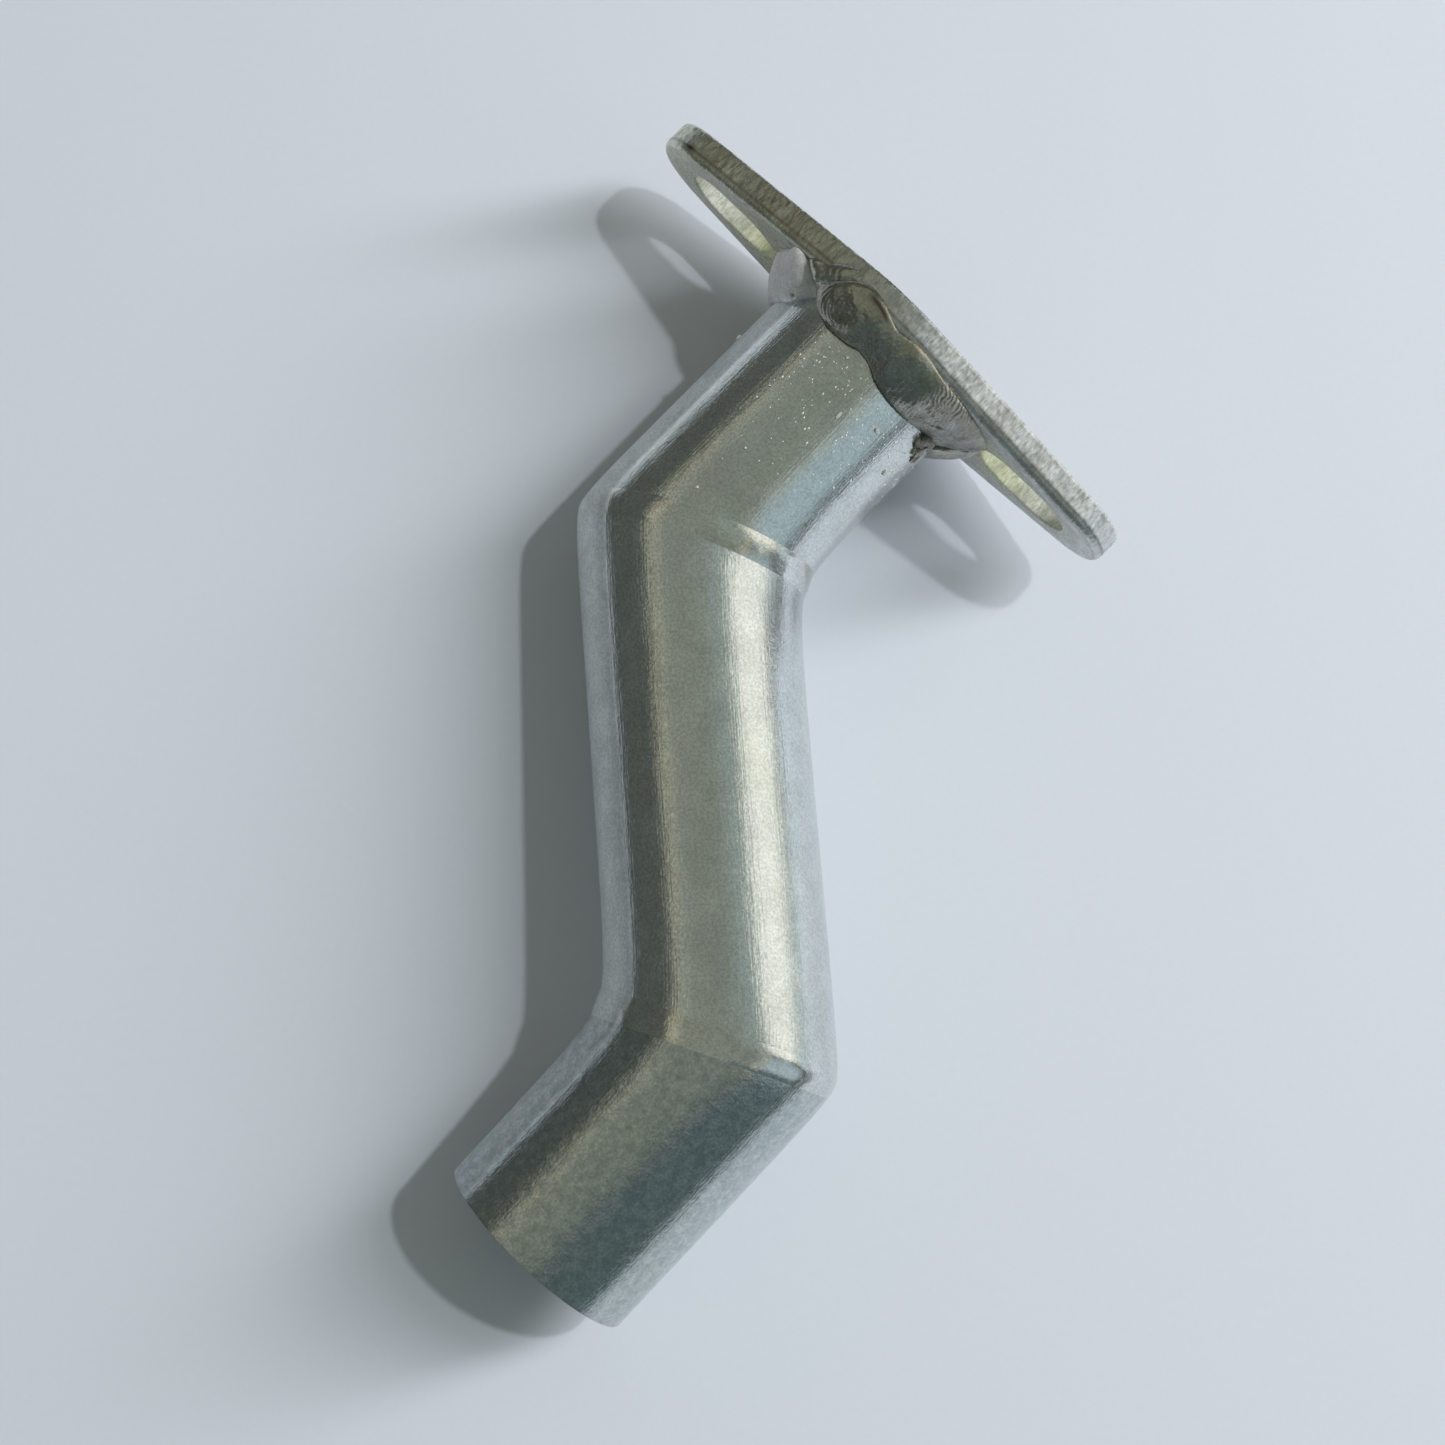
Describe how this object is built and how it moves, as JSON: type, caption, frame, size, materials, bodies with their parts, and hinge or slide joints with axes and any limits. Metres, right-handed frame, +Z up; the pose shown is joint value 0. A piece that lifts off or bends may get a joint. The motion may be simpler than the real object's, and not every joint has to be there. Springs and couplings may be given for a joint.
{
  "type": "pipe elbow",
  "caption": "Zinc-plated steel pipe elbow: an oval slotted flange fillet-welded to tube lengths mitred into a double bend with an open plain end.",
  "frame": {"origin": "middle of the footprint's box, on the surface that the elbow lies on", "axes": "+Z up from the surface it lies on; +Y runs along the middle tube in plan towards the flange end; +X to the side that the flange is offset to"},
  "size_m": [0.1084, 0.1858, 0.0443],
  "materials": {
    "zinc_plated_tube": "bright zinc plate over steel tube, semi-gloss, finely mottled, with a faint olive and gold passivation tint",
    "zinc_plated_flange": "zinc plate over a rough-cut steel plate, satin faces, coarse glittering rim, yellow-green tint in the slots",
    "dressed_seam": "butt weld ground and sanded nearly flush, zinc plated",
    "fillet_bead": "as-laid weld bead, rippled, zinc plated, dark in its hollows and toes"
  },
  "bodies": {
    "root": {"flange_plate": "zinc_plated_flange", "upper_tube": "zinc_plated_tube", "middle_tube": "zinc_plated_tube", "lower_tube": "zinc_plated_tube", "first_mitre_weld": "dressed_seam", "second_mitre_weld": "dressed_seam", "front_fillet_run": "fillet_bead", "crater_fillet_run": "fillet_bead", "side_fillet_run": "fillet_bead", "rear_fillet_run": "fillet_bead"}
  },
  "joints": []
}
